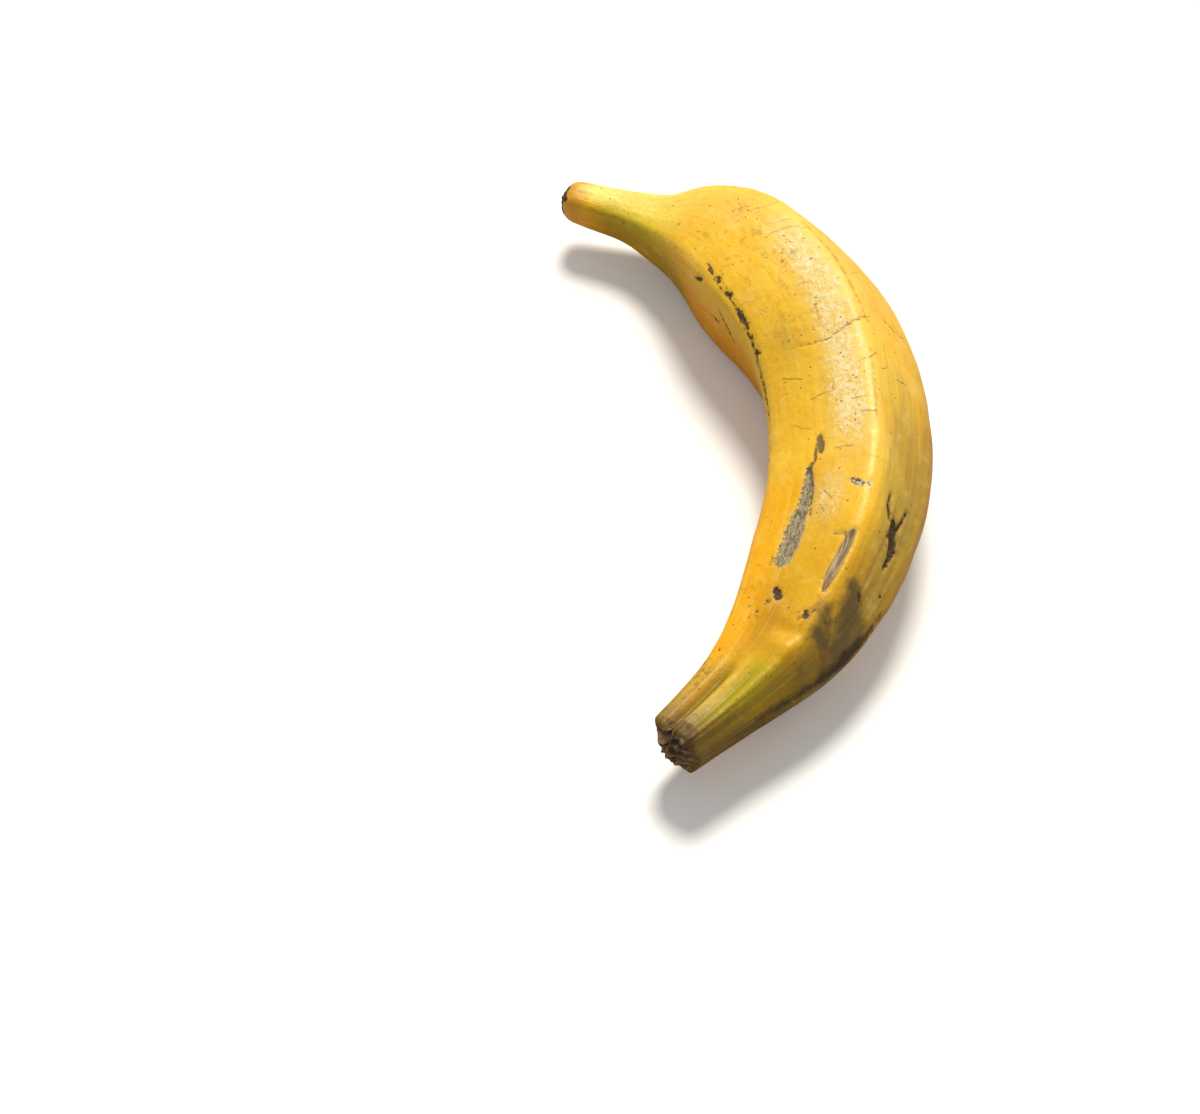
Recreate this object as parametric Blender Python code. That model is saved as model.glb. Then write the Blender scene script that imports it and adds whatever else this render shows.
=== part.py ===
"""A ripe plantain, picked and lying on its side.

The fruit grew as one piece, so the model is one closed solid. Its mid-line is
a level bow that runs from the cut stem, near -X, to the blossom tip, near +X,
and the inside of the bow faces +Y. Across the mid-line the fruit is a rounded
figure with five ridges and nearly flat faces between them. The broad face that
it lies on is pressed flat where it meets the ground, at z = 0.
"""

import math

import bmesh
import bpy
import numpy as np
from mathutils import Vector

# Mid-line of the fruit from stem to tip, in metres: x, y, height and the radius
# measured to the ridges. The stem end of the mid-line is the zero of x and y.
STATIONS = (
    (0.000, 0.000, 0.0165, 0.0098),
    (0.0130, -0.0180, 0.0165, 0.0128),
    (0.0275, -0.0345, 0.0170, 0.0176),
    (0.0490, -0.0505, 0.0190, 0.0222),
    (0.0760, -0.0635, 0.0206, 0.0242),
    (0.1065, -0.0695, 0.0212, 0.0247),
    (0.1370, -0.0665, 0.0219, 0.0254),
    (0.1635, -0.0560, 0.0212, 0.0250),
    (0.1795, -0.0475, 0.0190, 0.0224),
    (0.1890, -0.0395, 0.0168, 0.0180),
    (0.1960, -0.0312, 0.0152, 0.0127),
    (0.2030, -0.0225, 0.0147, 0.0093),
    (0.2090, -0.0120, 0.0150, 0.0078),
    (0.2150, -0.0005, 0.0160, 0.0066),
)

# Directions of the five ridges, in degrees round the mid-line: 0 is level
# towards the inside of the bow and 90 is straight up. The first column is the
# share of the length from the stem.
RIDGES = (
    (0.00, 26, 119, 166, 236, 304),
    (0.15, 20, 117, 176, 236, 304),
    (0.25, 14, 114, 176, 236, 304),
    (0.37, 8, 107, 171, 236, 305),
    (0.49, 8, 102, 170, 236, 307),
    (0.61, 22, 108, 170, 236, 310),
    (0.74, 28, 118, 175, 236, 312),
    (0.88, 35, 118, 175, 236, 310),
    (1.00, 38, 118, 175, 236, 304),
)

# How flat the faces between the ridges are, from 0, round, to 1, flat. Above 1
# they are sunk between the ridges, as they are beside the stem.
FLATNESS = ((0.00, 1.1), (0.08, 1.1), (0.17, 0.9), (0.34, 0.76), (0.63, 0.70),
            (0.78, 0.72), (0.87, 0.90), (1.00, 0.50))

# Half of the angle that each ridge is rounded over, in degrees.
RIDGE_ROUNDING = ((0.00, 5), (0.17, 5), (0.38, 6), (0.75, 7), (0.90, 9), (1.00, 20))

# The lower inside ridge stands this much further out along the upper half.
LOWER_RIDGE_RISE = ((0.00, 1.0), (0.45, 1.0), (0.60, 1.03), (0.75, 1.04), (0.87, 1.0), (1.00, 1.0))

# Rounding of the rim at each end: the length that it takes, in metres, and the
# share of the radius that is left flat at the very end.
STEM_RIM = (0.0015, 0.80)
TIP_RIM = (0.0050, 0.35)

# The mesh has a line of points along every ridge, and these sides across each face.
SIDES_PER_FACE = 6
RINGS = 60
# Rings stand closer together near the ends, by this share of their spacing.
RING_CROWDING = 0.80

PEEL_COLOR = (0.78, 0.50, 0.09, 1.0)
PEEL_ROUGHNESS = 0.45


def smooth_curve(knots, values):
    """Return a function that gives the natural cubic spline through the values."""
    knots = np.array(knots, dtype=float)
    values = np.array(values, dtype=float)
    gaps = np.diff(knots)
    slopes = np.diff(values, axis=0) / gaps[:, None]
    system = np.eye(len(knots))
    bends = np.zeros_like(values)
    for i in range(1, len(knots) - 1):
        system[i, i - 1:i + 2] = (gaps[i - 1], 2 * (gaps[i - 1] + gaps[i]), gaps[i])
        bends[i] = 6 * (slopes[i] - slopes[i - 1])
    bends = np.linalg.solve(system, bends)

    def value_at(place):
        i = int(np.clip(np.searchsorted(knots, place) - 1, 0, len(gaps) - 1))
        step = place - knots[i]
        start_slope = slopes[i] - gaps[i] * (2 * bends[i] + bends[i + 1]) / 6
        change_of_bend = (bends[i + 1] - bends[i]) / (6 * gaps[i])
        return values[i] + step * (start_slope + step * (bends[i] / 2 + step * change_of_bend))

    return value_at


def straight_between(table, share):
    """Read a two-column table at a share of the length."""
    return float(np.interp(share, *zip(*table)))


# The spline's own measure is the straight distance from station to station.
station_points = np.array(STATIONS)[:, :3]
station_steps = np.linalg.norm(np.diff(station_points, axis=0), axis=1)
station_distances = np.concatenate([[0.0], np.cumsum(station_steps)])
LENGTH = float(station_distances[-1])
mid_line = smooth_curve(station_distances, STATIONS)
ridge_directions = smooth_curve([row[0] for row in RIDGES], [row[1:] for row in RIDGES])


def rim_share(distance, rim):
    """Share of the radius that is left at a distance from an end of the fruit."""
    rim_length, flat_share = rim
    inward = min(distance / rim_length, 1.0)
    return flat_share + (1 - flat_share) * math.sqrt(1 - (1 - inward) ** 2)


def section(share):
    """Return a function that gives the skin's direction and reach at a share of the way round.

    The way round is measured in faces, so ridge 0 is at 0, ridge 1 at a fifth, and so on.
    The direction is in radians, and the reach is a share of the radius.
    """
    ridges = np.radians(ridge_directions(share))
    turns = np.diff(ridges, append=ridges[0] + math.tau)
    flatness = straight_between(FLATNESS, share)
    rounding = math.radians(straight_between(RIDGE_ROUNDING, share))
    rises = np.ones(len(ridges))
    rises[-1] = straight_between(LOWER_RIDGE_RISE, share)

    def sharp_reach(direction):
        past_first = (direction - ridges[0]) % math.tau
        face = int(np.searchsorted(np.cumsum(turns)[:-1], past_first))
        across = (past_first - turns[:face].sum()) / turns[face]
        edge = rises[face] + (rises[(face + 1) % len(ridges)] - rises[face]) * across
        sunk = 4 * across * (1 - across) * (1 - math.cos(turns[face] / 2))
        return edge - flatness * sunk

    def skin(way_round):
        face, across = divmod(way_round * len(ridges), 1)
        direction = ridges[int(face)] + across * turns[int(face)]
        nearby = np.linspace(direction - rounding, direction + rounding, 9)
        return direction, np.mean([sharp_reach(near) for near in nearby])

    return skin


def place_ring(ring, share):
    """Move a ring of the unit cylinder to its place on the skin of the fruit."""
    distance = share * LENGTH
    *middle, radius = mid_line(distance)
    ahead = mid_line(distance + 0.0005)[:3] - mid_line(distance - 0.0005)[:3]
    forward = Vector(ahead).normalized()
    inward = Vector((0, 0, 1)).cross(forward).normalized()
    upward = forward.cross(inward)
    radius *= rim_share(distance, STEM_RIM) * rim_share(LENGTH - distance, TIP_RIM)
    skin = section(share)
    for vert in ring:
        way_round = round(math.atan2(-vert.co.x, vert.co.y) / math.tau, 6) % 1
        direction, reach = skin(way_round)
        out = inward * math.cos(direction) + upward * math.sin(direction)
        vert.co = Vector(middle) + out * radius * reach
        vert.co.z = max(vert.co.z, 0.0)


def make_fruit():
    """Shape a ringed cylinder into the fruit, with its origin under its middle."""
    bm = bmesh.new()
    sides = SIDES_PER_FACE * len(RIDGES[0][1:])
    bmesh.ops.create_cone(bm, cap_ends=True, segments=sides, radius1=1, radius2=1, depth=1)
    long_edges = [e for e in bm.edges if abs(e.verts[0].co.z - e.verts[1].co.z) > 0.5]
    bmesh.ops.subdivide_edges(bm, edges=long_edges, cuts=RINGS - 1, use_grid_fill=True)

    rings = {}
    for vert in bm.verts:
        rings.setdefault(round((vert.co.z + 0.5) * RINGS), []).append(vert)
    for number, ring in rings.items():
        turn = math.tau * number / RINGS
        place_ring(ring, (turn - RING_CROWDING * math.sin(turn)) / math.tau)

    for axis in (0, 1):
        ends = [vert.co[axis] for vert in bm.verts]
        middle = (min(ends) + max(ends)) / 2
        for vert in bm.verts:
            vert.co[axis] -= middle

    mesh = bpy.data.meshes.new("plantain")
    bm.to_mesh(mesh)
    bm.free()
    mesh.shade_smooth()
    return bpy.data.objects.new("plantain", mesh)


def peel_material():
    """Yellow peel with a soft waxy gloss."""
    material = bpy.data.materials.new("peel")
    material.use_nodes = True
    shader = material.node_tree.nodes["Principled BSDF"]
    shader.inputs["Base Color"].default_value = PEEL_COLOR
    shader.inputs["Roughness"].default_value = PEEL_ROUGHNESS
    shader.inputs["Metallic"].default_value = 0.0
    return material


for old_object in list(bpy.data.objects):
    bpy.data.objects.remove(old_object)

fruit_collection = bpy.data.collections.new("plantain")
bpy.context.scene.collection.children.link(fruit_collection)
plantain = make_fruit()
plantain.data.materials.append(peel_material())
fruit_collection.objects.link(plantain)
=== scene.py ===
import math

import bmesh
import bpy
import numpy as np
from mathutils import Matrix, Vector, noise


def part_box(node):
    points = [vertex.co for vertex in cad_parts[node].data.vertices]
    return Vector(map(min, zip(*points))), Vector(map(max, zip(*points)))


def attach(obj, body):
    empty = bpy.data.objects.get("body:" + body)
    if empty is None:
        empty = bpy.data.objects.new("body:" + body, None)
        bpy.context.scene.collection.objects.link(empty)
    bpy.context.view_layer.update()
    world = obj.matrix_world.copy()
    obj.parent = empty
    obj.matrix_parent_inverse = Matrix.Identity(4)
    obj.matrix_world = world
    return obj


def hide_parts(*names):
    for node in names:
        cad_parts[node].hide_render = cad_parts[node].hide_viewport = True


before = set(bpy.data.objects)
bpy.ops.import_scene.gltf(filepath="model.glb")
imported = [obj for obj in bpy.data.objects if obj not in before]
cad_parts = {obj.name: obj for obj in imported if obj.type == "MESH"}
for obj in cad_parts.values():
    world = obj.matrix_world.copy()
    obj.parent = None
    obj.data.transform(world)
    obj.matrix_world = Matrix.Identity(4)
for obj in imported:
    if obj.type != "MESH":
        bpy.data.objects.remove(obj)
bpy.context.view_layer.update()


# STUDIO. A plain pale floor, a broad warm lamp high beyond the fruit, as from a bright window, a faint
# one at its side, and a pale room all round that fills the shadows. The camera stands on the stem's
# side and looks down.
low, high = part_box("plantain")
under_middle = Vector(((low.x + high.x) / 2, (low.y + high.y) / 2, low.z))

FLOOR_HALF_WIDTH = 4.0
FLOOR_GAP = 0.0002
FLOOR_COLOR = (0.90, 0.90, 0.89, 1.0)
FLOOR_GLOW = 0.10
FLOOR_BOUNCE_COLOR = (0.52, 0.48, 0.40, 1.0)
FLOOR_ROUGHNESS = 0.9
FLOOR_GLOSS = 0.1
ROOM_COLOR = (1.0, 0.985, 0.96, 1.0)
ROOM_FILL = 0.38
ROOM_SEEN = 0.93
# Lamps: azimuth, elevation and apparent width in degrees, strength in watts a square metre, colour.
LAMPS = {
    "window": (76, 54, 20, 3.5, (1.0, 0.95, 0.86)),
    "side_fill": (350, 50, 40, 0.15, (1.0, 0.98, 0.95)),
}
LAMP_DISTANCE = 1.5
CAMERA_AZIMUTH = 261.44
CAMERA_ELEVATION = 52.0
CAMERA_DISTANCE = 0.700
CAMERA_AIM_OFFSET = Vector((-0.0263, 0.0528, 0.0))
CAMERA_LENS = 71.4


def seen_from(azimuth, elevation):
    """Direction from the fruit to a place at an azimuth and elevation; azimuth 0 is at -Y."""
    turn, rise = math.radians(azimuth), math.radians(elevation)
    return Vector((math.sin(turn) * math.cos(rise), -math.cos(turn) * math.cos(rise), math.sin(rise)))


def place_looking_at(thing, target, direction, distance):
    """Put a lamp or camera at a distance from its target, and turn it to face the target."""
    thing.location = target + direction * distance
    thing.rotation_mode = "QUATERNION"
    thing.rotation_quaternion = (-direction).to_track_quat("-Z", "Y")
    bpy.context.scene.collection.objects.link(thing)


def new_material(name):
    """A material with nodes; returns it, its node tree and its Principled shader."""
    material = bpy.data.materials.new(name)
    material.use_nodes = True
    return material, material.node_tree, material.node_tree.nodes["Principled BSDF"]


def show_camera_another(tree, lighting, seen, surface):
    """Let one shader light the fruit while the camera sees another."""
    ray = tree.nodes.new("ShaderNodeLightPath")
    mix = tree.nodes.new("ShaderNodeMixShader")
    tree.links.new(ray.outputs["Is Camera Ray"], mix.inputs[0])
    tree.links.new(lighting.outputs[0], mix.inputs[1])
    tree.links.new(seen.outputs[0], mix.inputs[2])
    tree.links.new(mix.outputs[0], surface)


floor_shape = bmesh.new()
bmesh.ops.create_grid(floor_shape, x_segments=1, y_segments=1, size=FLOOR_HALF_WIDTH)
bmesh.ops.translate(floor_shape, verts=floor_shape.verts, vec=(0, 0, low.z - FLOOR_GAP))
floor_mesh = bpy.data.meshes.new("floor")
floor_shape.to_mesh(floor_mesh)
floor_shape.free()
floor = bpy.data.objects.new("floor", floor_mesh)
bpy.context.scene.collection.objects.link(floor)
floor_paint, floor_tree, floor_shader = new_material("floor_paint")
floor_shader.inputs["Base Color"].default_value = FLOOR_COLOR
floor_shader.inputs["Roughness"].default_value = FLOOR_ROUGHNESS
floor_shader.inputs["Specular IOR Level"].default_value = FLOOR_GLOSS
floor_shader.inputs["Emission Color"].default_value = (1.0, 1.0, 1.0, 1.0)
floor_shader.inputs["Emission Strength"].default_value = FLOOR_GLOW
# The light that the floor throws back on the fruit is dimmer than the floor looks.
floor_bounce = floor_tree.nodes.new("ShaderNodeBsdfDiffuse")
floor_bounce.inputs["Color"].default_value = FLOOR_BOUNCE_COLOR
floor_surface = floor_tree.nodes["Material Output"].inputs["Surface"]
show_camera_another(floor_tree, floor_bounce, floor_shader, floor_surface)
floor_mesh.materials.append(floor_paint)

# The room lights the fruit softly, and looks as pale as the floor.
room = bpy.data.worlds.new("pale_room")
room.use_nodes = True
room_tree = room.node_tree
room_seen = room_tree.nodes["Background"]
room_seen.inputs["Color"].default_value = ROOM_COLOR
room_seen.inputs["Strength"].default_value = ROOM_SEEN
room_fill = room_tree.nodes.new("ShaderNodeBackground")
room_fill.inputs["Color"].default_value = ROOM_COLOR
room_fill.inputs["Strength"].default_value = ROOM_FILL
show_camera_another(room_tree, room_fill, room_seen, room_tree.nodes["World Output"].inputs["Surface"])
bpy.context.scene.world = room

for lamp_name, (azimuth, elevation, width, strength, color) in LAMPS.items():
    lamp_data = bpy.data.lights.new(lamp_name, "SUN")
    lamp_data.angle = math.radians(width)
    lamp_data.energy = strength
    lamp_data.color = color
    lamp = bpy.data.objects.new(lamp_name, lamp_data)
    place_looking_at(lamp, under_middle, seen_from(azimuth, elevation), LAMP_DISTANCE)

camera_data = bpy.data.cameras.new("camera")
camera_data.lens = CAMERA_LENS
camera_data.sensor_width = 36.0
camera = bpy.data.objects.new("camera", camera_data)
place_looking_at(
    camera,
    under_middle + CAMERA_AIM_OFFSET,
    seen_from(CAMERA_AZIMUTH, CAMERA_ELEVATION),
    CAMERA_DISTANCE,
)
bpy.context.scene.camera = camera
bpy.context.scene.view_settings.view_transform = "Standard"


# BODY OF THE FRUIT. One skin, grown in one piece, in a level bow from the cut stem to the blossom
# tip. Five rounded ridges run along it with nearly flat faces between them. Here a ringed cylinder
# is bent into that plain shape; the next sections raise and sink its surface.
MM = 0.001
# Mid-line from stem to tip, in metres: x, y, height and the radius measured to the ridges.
STATIONS = (
    (0.000, 0.000, 0.0165, 0.0098),
    (0.0130, -0.0180, 0.0165, 0.0128),
    (0.0275, -0.0345, 0.0170, 0.0176),
    (0.0490, -0.0505, 0.0190, 0.0222),
    (0.0760, -0.0635, 0.0206, 0.0242),
    (0.1065, -0.0695, 0.0212, 0.0247),
    (0.1370, -0.0665, 0.0219, 0.0254),
    (0.1635, -0.0560, 0.0212, 0.0250),
    (0.1795, -0.0475, 0.0190, 0.0224),
    (0.1890, -0.0395, 0.0168, 0.0180),
    (0.1960, -0.0312, 0.0152, 0.0127),
    (0.2030, -0.0225, 0.0147, 0.0093),
    (0.2090, -0.0120, 0.0150, 0.0078),
    (0.2150, -0.0005, 0.0160, 0.0066),
)
# Share of the length, then the directions of the five ridges in degrees: 0 is level towards the
# inside of the bow and 90 is straight up.
RIDGES = (
    (0.00, 26, 119, 166, 236, 304),
    (0.15, 20, 117, 176, 236, 304),
    (0.25, 14, 114, 176, 236, 304),
    (0.37, 8, 107, 171, 236, 305),
    (0.49, 8, 102, 170, 236, 307),
    (0.61, 22, 108, 170, 236, 310),
    (0.74, 28, 118, 175, 236, 312),
    (0.88, 35, 118, 175, 236, 310),
    (1.00, 38, 118, 175, 236, 304),
)
FACES = 5
# Share of the length and how flat the faces are, 0 round to 1 flat; above 1 they are sunk.
FLATNESS = ((0.00, 1.1), (0.08, 1.1), (0.17, 0.9), (0.34, 0.76), (0.63, 0.70),
            (0.78, 0.72), (0.87, 0.90), (1.00, 0.50))
# Share of the length and half of the angle that each ridge is rounded over, in degrees.
RIDGE_ROUNDING = ((0.00, 5), (0.17, 5), (0.38, 6), (0.75, 7), (0.90, 9), (1.00, 20))
# Share of the length and how far out the lower inside ridge stands.
LOWER_RIDGE_RISE = ((0.00, 1.0), (0.45, 1.0), (0.60, 1.03), (0.75, 1.04), (0.87, 1.0), (1.00, 1.0))
# Rounding of the rim at each end: its length in metres and the share of the radius left flat.
STEM_RIM = (0.0015, 0.80)
TIP_RIM = (0.0050, 0.35)

SIDES = 190
STEM_RINGS = 28
BODY_RINGS = 434
TIP_RINGS = 14
RINGS = STEM_RINGS + BODY_RINGS + TIP_RINGS
RING_CROWDING = 0.30
END_HOLE = 0.03
ROUNDING_STEPS = 9


def smooth_curve(knots, values):
    """Natural cubic spline through rows of values, as a function of an array of places."""
    knots = np.array(knots, dtype=float)
    values = np.array(values, dtype=float)
    gaps = np.diff(knots)
    slopes = np.diff(values, axis=0) / gaps[:, None]
    system = np.eye(len(knots))
    bends = np.zeros_like(values)
    for i in range(1, len(knots) - 1):
        system[i, i - 1:i + 2] = (gaps[i - 1], 2 * (gaps[i - 1] + gaps[i]), gaps[i])
        bends[i] = 6 * (slopes[i] - slopes[i - 1])
    bends = np.linalg.solve(system, bends)

    def values_at(places):
        i = np.clip(np.searchsorted(knots, places) - 1, 0, len(gaps) - 1)
        step = (places - knots[i])[:, None]
        gap = gaps[i][:, None]
        start_slope = slopes[i] - gap * (2 * bends[i] + bends[i + 1]) / 6
        change_of_bend = (bends[i + 1] - bends[i]) / (6 * gap)
        return values[i] + step * (start_slope + step * (bends[i] / 2 + step * change_of_bend))

    return values_at


def read_table(table, share):
    """Read a two-column table at a share of the length, straight between its rows."""
    return float(np.interp(share, *zip(*table)))


def rim_share(distances, rim):
    """Share of the radius that is left at distances from an end of the fruit."""
    rim_length, flat_share = rim
    inward = np.clip(distances / rim_length, 0, 1)
    return flat_share + (1 - flat_share) * np.sqrt(1 - (1 - inward) ** 2)


station_steps = np.linalg.norm(np.diff(np.array(STATIONS)[:, :3], axis=0), axis=1)
station_distances = np.concatenate([[0.0], np.cumsum(station_steps)])
LENGTH = float(station_distances[-1])
mid_line = smooth_curve(station_distances, STATIONS)
ridge_directions = smooth_curve([row[0] for row in RIDGES], [row[1:] for row in RIDGES])


def skin_outline(share, ways):
    """Directions, in radians, and reaches, as shares of the radius, of the skin at the ways round.

    A way round counts faces: 0 is the first ridge, 1 the second, and 0.5 the middle between them.
    """
    ridges = np.radians(ridge_directions(np.array([share]))[0])
    turns = np.diff(ridges, append=ridges[0] + math.tau)
    starts = np.concatenate([[0.0], np.cumsum(turns)[:-1]])
    flatness = read_table(FLATNESS, share)
    rounding = math.radians(read_table(RIDGE_ROUNDING, share))
    rises = np.ones(FACES)
    rises[-1] = read_table(LOWER_RIDGE_RISE, share)
    face = ways.astype(int)
    directions = ridges[face] + (ways - face) * turns[face]
    nearby = directions[:, None] + np.linspace(-rounding, rounding, ROUNDING_STEPS)
    past_first = (nearby - ridges[0]) % math.tau
    face = np.searchsorted(starts[1:], past_first)
    across = (past_first - starts[face]) / turns[face]
    edge = rises[face] + (rises[(face + 1) % FACES] - rises[face]) * across
    sunk = 4 * across * (1 - across) * (1 - np.cos(turns[face] / 2))
    return directions, (edge - flatness * sunk).mean(axis=1)


def scaled(vectors):
    """The vectors at length one."""
    return vectors / np.linalg.norm(vectors, axis=-1, keepdims=True)


# The rings from the middle of the torn stem face, along the body, to the middle of the tip face.
body_turn = math.tau * np.linspace(0, 1, BODY_RINGS + 1)
body_distances = LENGTH * (body_turn - RING_CROWDING * np.sin(body_turn)) / math.tau
body_shares = rim_share(body_distances, STEM_RIM) * rim_share(LENGTH - body_distances, TIP_RIM)
stem_shares = np.linspace(END_HOLE, STEM_RIM[1], STEM_RINGS, endpoint=False)
tip_shares = np.linspace(TIP_RIM[1], END_HOLE, TIP_RINGS + 1)[1:]
ring_distances = np.concatenate([0 * stem_shares, body_distances, LENGTH + 0 * tip_shares])
ring_shares = np.concatenate([stem_shares, body_shares, tip_shares])
ways = FACES * np.arange(SIDES) / SIDES

ahead = (mid_line(ring_distances + 0.5 * MM) - mid_line(ring_distances - 0.5 * MM))[:, :3]
forward = scaled(ahead)
inward = scaled(np.cross((0, 0, 1), forward))
upward = np.cross(forward, inward)
skin = np.zeros((RINGS + 1, SIDES, 3))
for ring, (distance, ring_share) in enumerate(zip(ring_distances, ring_shares)):
    *ring_middle, radius = mid_line(np.array([distance]))[0]
    directions, reaches = skin_outline(distance / LENGTH, ways)
    out = np.outer(np.cos(directions), inward[ring]) + np.outer(np.sin(directions), upward[ring])
    skin[ring] = ring_middle + out * (radius * ring_share * reaches)[:, None]
skin[..., 2] = np.maximum(skin[..., 2], 0)
skin_extent = skin.reshape(-1, 3)
skin_middle = (skin_extent.min(axis=0) + skin_extent.max(axis=0)) / 2
skin[..., 0] += under_middle.x - skin_middle[0]
skin[..., 1] += under_middle.y - skin_middle[1]
skin[..., 2] += low.z

along_skin = np.gradient(skin, axis=0)
round_skin = np.roll(skin, -1, axis=1) - np.roll(skin, 1, axis=1)
outward = scaled(np.cross(round_skin, along_skin) + 1e-12)

# Places on the skin that later sections use: millimetres from the stem and the way round, and
# the same laid out as a straight fruit, so that a grain along it has no seam.
stem_mm = np.repeat((ring_distances / MM)[:, None], SIDES, axis=1)
way = np.repeat(ways[None, :], RINGS + 1, axis=0)
STRAIGHT_RADIUS = 25.0
straight = np.stack(
    [
        stem_mm,
        STRAIGHT_RADIUS * np.cos(way * math.tau / FACES),
        STRAIGHT_RADIUS * np.sin(way * math.tau / FACES),
    ],
    axis=-1,
)


# GROWTH OF THE PEEL. A plantain's skin is never even: it swells and dips over the flesh, is pebbled
# where the wax is thick, wrinkles lengthwise where the peel has dried, and is fluted by the stem.
def lumps(places, size):
    """Smooth noise from -1 to 1 at places in millimetres, with lumps about that size."""
    grid = np.reshape(places, (-1, 3)) / size
    values = np.array([noise.noise(place) for place in grid.tolist()])
    return values.reshape(np.shape(places)[:-1])


def window(values, start, end, blur):
    """1 between start and end, easing to 0 over the blur on each side."""
    rise = np.clip((values - start) / blur + 0.5, 0, 1)
    fall = np.clip((end - values) / blur + 0.5, 0, 1)
    return rise * rise * (3 - 2 * rise) * fall * fall * (3 - 2 * fall)


def near_way(center, width):
    """1 on a line along the fruit at a way round, fading over the width on both sides."""
    gap = (way - center + FACES / 2) % FACES - FACES / 2
    return np.exp(-((gap / width) ** 2))


# Heights and sizes of the swellings in millimetres, and where each starts in the noise.
SWELLINGS = ((0.34, 24, 0), (0.14, 9, 90), (0.045, 3.6, 40))
PEBBLE_SIZE = 2.0
WAX_PEBBLE_HEIGHT = 0.17
NECK_PEBBLE_HEIGHT = 0.10
WRINKLE_HEIGHT = 0.42
FINE_WRINKLE_HEIGHT = 0.10
# Ways round of the two grooves and of the crest between them, beside the stem.
GROOVE_WAY = 0.42
CREST_WAY = 0.66
SIDE_GROOVE_WAY = 0.87
GROOVE_DEPTH = 1.45
CREST_HEIGHT = 0.85
SIDE_GROOVE_DEPTH = 0.55
FLUTE_HEIGHT = 0.35
KNOB_HEIGHT = 0.9

skin_mm = skin / MM
off_ends = window(stem_mm, 4, LENGTH / MM - 4, 8)
relief = 0 * stem_mm
for swelling_height, swelling_size, shift in SWELLINGS:
    relief += off_ends * swelling_height * lumps(skin_mm + shift, swelling_size)

# Pebbled wax on the upper outside ridge and on the neck, and dried wrinkles on the outer faces.
waxy_ridge = window(way, 0.45, 1.1, 0.35) * window(stem_mm, 92, 205, 16)
pebbled_neck = window(way, 0.2, 1.6, 0.3) * window(stem_mm, 222, 262, 10)
pebble_height = WAX_PEBBLE_HEIGHT * waxy_ridge + NECK_PEBBLE_HEIGHT * pebbled_neck
relief += pebble_height * lumps(skin_mm + 10, PEBBLE_SIZE)
wrinkle_places = straight * (0.07, 0.42, 0.42)
wrinkled = window(way, 1.1, 2.9, 0.3) * window(stem_mm, 52, 128, 22)
relief += WRINKLE_HEIGHT * wrinkled * lumps(wrinkle_places, 1.0)
relief += FINE_WRINKLE_HEIGHT * off_ends * lumps(straight * (0.03, 0.25, 0.25) + 7, 1.0)

# Beside the stem the top face has a deep groove, a round crest and a narrow groove, and all faces
# are fluted.
by_stem = window(stem_mm, -10, 27, 14)
relief += by_stem * CREST_HEIGHT * near_way(CREST_WAY, 0.11)
relief -= by_stem * GROOVE_DEPTH * near_way(GROOVE_WAY, 0.11)
relief -= by_stem * SIDE_GROOVE_DEPTH * near_way(SIDE_GROOVE_WAY, 0.06)
relief += FLUTE_HEIGHT * by_stem * lumps(straight * (0.02, 0.30, 0.30) + 23, 1.0)
# A knob and a nick interrupt the upper outside ridge where the fruit widens.
relief += KNOB_HEIGHT * near_way(0.93, 0.16) * np.exp(-(((stem_mm - 37.5) / 3.2) ** 2))
relief -= KNOB_HEIGHT * near_way(0.86, 0.20) * np.exp(-(((stem_mm - 42.0) / 2.6) ** 2))


# SCARS AND MARKS. Leaves and crates rub the growing fruit: dry silvery scars, corky strips, pits,
# nicks along the ridges, cracks, and dark bruises where it has begun to ripen, with painted shade
# widening the bruises over the lower outside face by the stem. Each is drawn as strokes over the
# skin, (millimetres from the stem, way round, half width in millimetres).
SILVER_SCAR = (
    ((97.5, 0.42, 0.8), (93, 0.435, 1.4), (88, 0.44, 1.7), (82, 0.425, 2.1), (75, 0.40, 2.7),
     (69, 0.385, 2.9), (64.5, 0.375, 2.3)),
)
SCAR_HOOK = (
    ((109.5, 0.52, 0.7), (105.5, 0.54, 1.0), (103, 0.53, 0.7)),
    ((109.5, 0.50, 0.5), (106, 0.49, 0.6), (100, 0.465, 0.5), (97.5, 0.42, 0.9), (95.5, 0.40, 0.5)),
    ((97.8, 0.42, 0.7), (94, 0.46, 0.5), (88, 0.495, 0.4), (80, 0.525, 0.3)),
    ((65, 0.25, 0.4), (62, 0.25, 0.4)),
)
CORKY_STRIP = (
    ((76, 0.96, 0.5), (74.5, 0.95, 1.1), (70.5, 0.94, 1.45), (65.8, 0.93, 1.5), (61, 0.92, 1.3),
     (56.5, 0.93, 0.6)),
    ((74.4, 0.90, 0.4), (73.8, 0.82, 0.3)),
)
PITS = (
    ((91, 1.29, 0.3), (87.6, 1.30, 0.6), (84.5, 1.36, 0.4)),
    ((85, 1.45, 0.9), (82, 1.51, 1.7), (79, 1.57, 1.6), (76, 1.60, 0.8), (73, 1.58, 0.4)),
    ((82, 1.51, 0.9), (80.5, 1.42, 0.5)),
    ((80, 1.56, 0.8), (78.5, 1.67, 0.4)),
    ((90.3, 1.61, 0.3), (86, 1.56, 0.4), (83, 1.52, 0.6)),
)
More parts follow.
